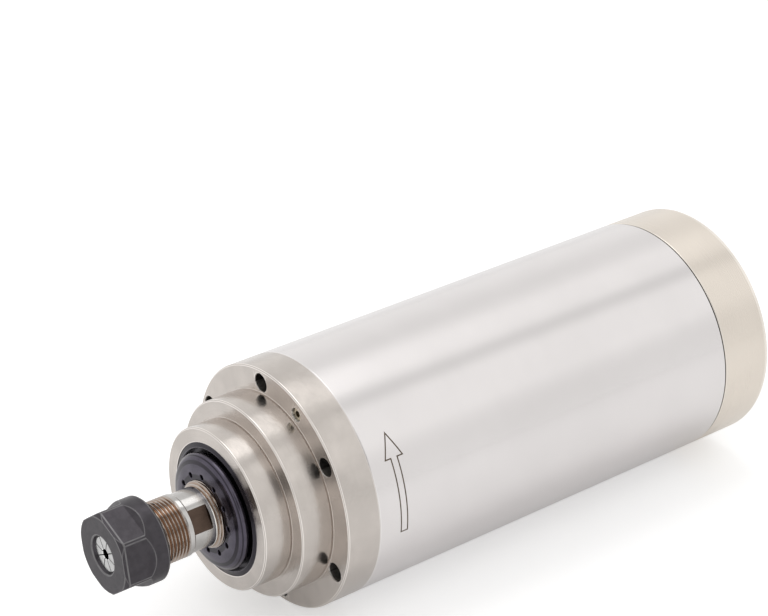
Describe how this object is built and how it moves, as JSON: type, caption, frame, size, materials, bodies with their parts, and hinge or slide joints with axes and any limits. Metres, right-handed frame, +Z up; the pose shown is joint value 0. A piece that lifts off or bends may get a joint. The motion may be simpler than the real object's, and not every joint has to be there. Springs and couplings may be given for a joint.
{
  "type": "motor spindle",
  "caption": "Round water-cooled motor spindle with a stepped front flange, a turning shaft nose with collet and hexagon collet nut, and rear water and power fittings.",
  "frame": {"origin": "on the spindle's axis, in the front face of the flange", "axes": "the axis is row Y with the nose to -Y and the rear cover to +Y; +Z is up with the spindle lying on its side"},
  "size_m": [0.1, 0.3173, 0.1],
  "materials": {
    "sleeve_steel": "satin stainless tube, long soft bands",
    "nickel_steel": "fine turned steel with a warm nickel plate",
    "cover_alloy": "satin, warm beige-grey",
    "black_oxide": "black oxide on steel, worn grey on the edges",
    "black_anodised": "glossy black with a purple cast",
    "shaft_steel": "ground and polished steel",
    "collet_steel": "ground spring steel",
    "bearing_steel": "ground and honed",
    "cage_resin": "fabric-filled phenolic",
    "spring_steel": "blued",
    "screw_steel": "black oxide",
    "plug_brass": "bright",
    "jacket_alloy": "machined",
    "core_steel": "stacked sheet, varnished",
    "copper": "enamelled wire, varnished",
    "cage_alloy": "as cast",
    "balance_brass": "turned",
    "seal_rubber": "matte",
    "fitting_nickel": "nickel plated",
    "connector_nickel": "nickel plated",
    "insert_resin": "moulded",
    "pin_gold": "gold flash",
    "lead_insulation": "silicone insulated"
  },
  "bodies": {
    "housing": {"body_sleeve": "sleeve_steel", "front_housing": "nickel_steel", "rear_cover": "cover_alloy", "nose_ring": "black_anodised", "preload_spring": "spring_steel", "flange_screws": "screw_steel", "retainer_screws": "screw_steel", "bell_screws": "screw_steel", "cover_screws": "screw_steel", "coolant_plug": "plug_brass", "cooling_jacket": "jacket_alloy", "rear_bell": "jacket_alloy", "bearing_retainer": "bearing_steel", "stator_core": "core_steel", "stator_windings": "copper", "jacket_orings": "seal_rubber", "cover_gasket": "seal_rubber", "water_inlet": "fitting_nickel", "water_outlet": "fitting_nickel", "fitting_washers": "copper", "connector_shell": "connector_nickel", "connector_nut": "connector_nickel", "connector_insert": "insert_resin", "connector_pins": "pin_gold", "motor_leads": "lead_insulation", "front_outer_spacer": "bearing_steel", "front_bearing_a_outer_race": "bearing_steel", "front_bearing_b_outer_race": "bearing_steel", "rear_bearing_outer_race": "bearing_steel"},
    "rotor": {"spindle_shaft": "shaft_steel", "labyrinth_nut": "black_anodised", "rotor_core": "core_steel", "rotor_cage": "cage_alloy", "balance_rings": "balance_brass", "front_inner_spacer": "bearing_steel", "rear_lock_nut": "bearing_steel", "front_bearing_a_inner_race": "bearing_steel", "front_bearing_b_inner_race": "bearing_steel", "rear_bearing_inner_race": "bearing_steel"},
    "ball_set_a": {"front_bearing_a_balls": "bearing_steel", "front_bearing_a_cage": "cage_resin"},
    "ball_set_b": {"front_bearing_b_balls": "bearing_steel", "front_bearing_b_cage": "cage_resin"},
    "rear_ball_set": {"rear_bearing_balls": "bearing_steel", "rear_bearing_cage": "cage_resin"},
    "collet": {"collet": "collet_steel"},
    "nut": {"collet_nut": "black_oxide"}
  },
  "joints": [
    {"name": "rotor_spin", "type": "hinge", "parent": "housing", "child": "rotor", "pos_m": [0, 0, 0], "axis": [0, -1, 0], "continuous": true},
    {"name": "ball_set_a_spin", "type": "hinge", "parent": "housing", "child": "ball_set_a", "pos_m": [0, 0, 0], "axis": [0, -1, 0], "continuous": true},
    {"name": "ball_set_b_spin", "type": "hinge", "parent": "housing", "child": "ball_set_b", "pos_m": [0, 0, 0], "axis": [0, -1, 0], "continuous": true},
    {"name": "rear_ball_set_spin", "type": "hinge", "parent": "housing", "child": "rear_ball_set", "pos_m": [0, 0, 0], "axis": [0, -1, 0], "continuous": true},
    {"name": "collet_slide", "type": "slide", "parent": "rotor", "child": "collet", "axis": [0, -1, 0], "range_m": [0, 0.009]},
    {"name": "nut_turn", "type": "hinge", "parent": "collet", "child": "nut", "pos_m": [0, 0, 0], "axis": [0, -1, 0], "range_deg": [0, 2160]}
  ],
  "couplings": [
    {"joint": "ball_set_a_spin", "follows": "rotor_spin", "ratio": 0.41886},
    {"joint": "ball_set_b_spin", "follows": "rotor_spin", "ratio": 0.41886},
    {"joint": "rear_ball_set_spin", "follows": "rotor_spin", "ratio": 0.40107},
    {"joint": "nut_turn", "follows": "collet_slide", "rad_per_m": 4188.8}
  ]
}
